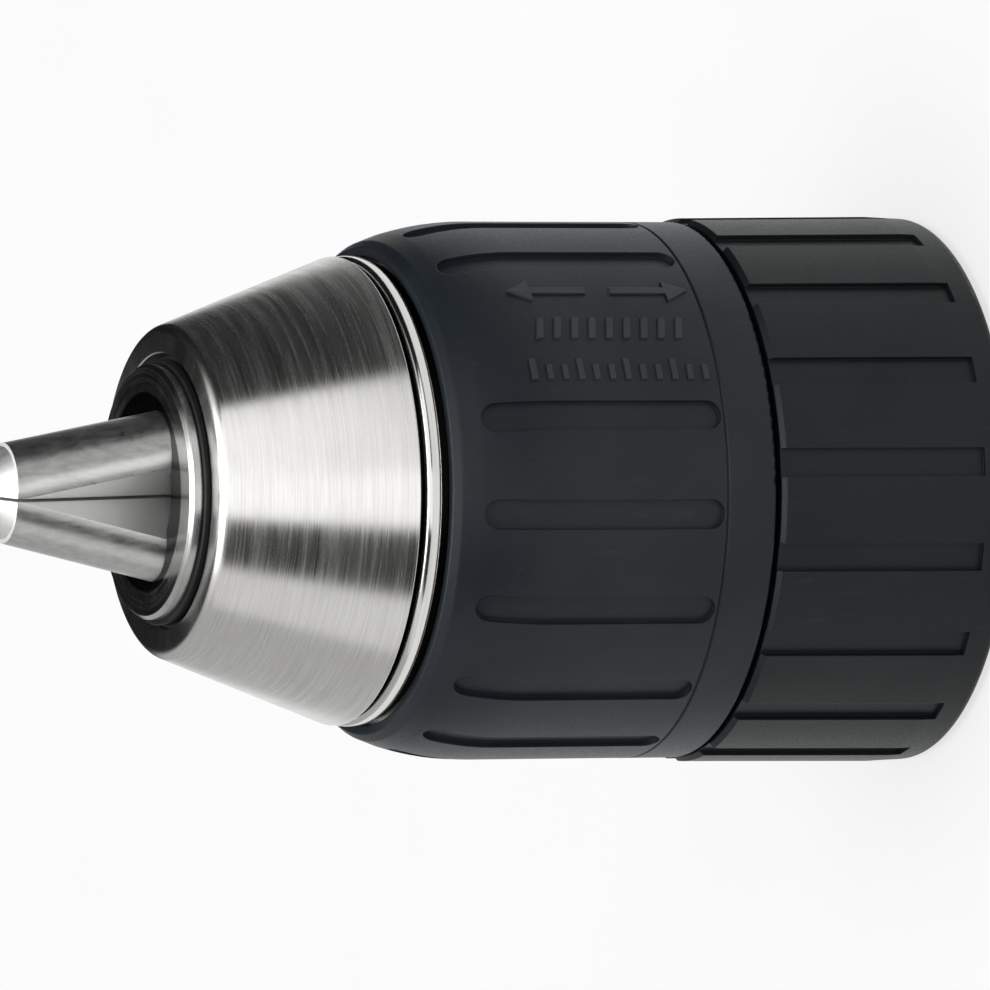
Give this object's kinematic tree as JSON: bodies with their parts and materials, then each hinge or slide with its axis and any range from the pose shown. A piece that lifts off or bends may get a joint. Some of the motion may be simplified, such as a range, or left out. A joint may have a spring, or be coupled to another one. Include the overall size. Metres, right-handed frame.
{
  "type": "drill chuck",
  "caption": "Keyless drill chuck with a fixed rear sleeve and a turning front sleeve that drives three jaws in and out of a steel nose cone.",
  "frame": {"origin": "centre of the chuck body's rear face, in the mouth of the spindle thread", "axes": "+Z along the chuck axis towards the nose and jaws; +X and +Y across it"},
  "size_m": [0.0428, 0.0428, 0.0777],
  "materials": {
    "body_steel": "turned, fine machining marks",
    "screw_steel": "zinc plated",
    "insert_steel": "turned",
    "spring_steel": "bright spring steel",
    "black_spring_steel": "phosphated",
    "rear_plastic": "fine grained moulded plastic, black",
    "front_plastic": "fine grained moulded plastic, blue-black",
    "bush_polymer": "black bearing polymer",
    "guide_polymer": "natural acetal",
    "race_steel": "ground",
    "ball_steel": "polished",
    "cage_brass": "stamped",
    "nut_steel": "hardened, oiled",
    "cone_steel": "brushed around the axis",
    "jaw_steel": "hardened and ground"
  },
  "bodies": {
    "root": {"chuck_body": "body_steel", "safety_screw": "screw_steel", "sleeve_insert": "insert_steel", "rear_snap_ring": "spring_steel", "rear_sleeve": "rear_plastic", "nose_bush": "bush_polymer", "nose_snap_ring": "black_spring_steel", "bearing_race_rear": "race_steel"},
    "sleeve": {"front_sleeve": "front_plastic", "nose_cone": "cone_steel", "guide_bush": "guide_polymer", "nut_half_a": "nut_steel", "nut_half_b": "nut_steel", "nut_ring": "insert_steel", "bearing_race_front": "race_steel"},
    "cage": {"ball_cage": "cage_brass", "bearing_balls": "ball_steel"},
    "jaw_1": {"jaw_1": "jaw_steel"},
    "jaw_2": {"jaw_2": "jaw_steel"},
    "jaw_3": {"jaw_3": "jaw_steel"}
  },
  "joints": [
    {"name": "sleeve_turn", "type": "hinge", "parent": "root", "child": "sleeve", "pos_m": [0, 0, 0], "axis": [0, 0, 1], "range_deg": [-74, 2660]},
    {"name": "cage_turn", "type": "hinge", "parent": "root", "child": "cage", "pos_m": [0, 0, 0], "axis": [0, 0, 1], "range_deg": [-37.5, 1330.5]},
    {"name": "jaw_1_slide", "type": "slide", "parent": "root", "child": "jaw_1", "axis": [0.1983, -0.1664, -0.9659], "range_m": [-0.00055, 0.0186]},
    {"name": "jaw_2_slide", "type": "slide", "parent": "root", "child": "jaw_2", "axis": [0.0449, 0.2549, -0.9659], "range_m": [-0.00055, 0.0186]},
    {"name": "jaw_3_slide", "type": "slide", "parent": "root", "child": "jaw_3", "axis": [-0.2432, -0.0885, -0.9659], "range_m": [-0.00055, 0.0186]}
  ],
  "couplings": [
    {"joint": "cage_turn", "follows": "sleeve_turn", "ratio": 0.5},
    {"joint": "jaw_1_slide", "follows": "sleeve_turn", "m_per_rad": 0.00039789},
    {"joint": "jaw_2_slide", "follows": "sleeve_turn", "m_per_rad": 0.00039789},
    {"joint": "jaw_3_slide", "follows": "sleeve_turn", "m_per_rad": 0.00039789}
  ]
}
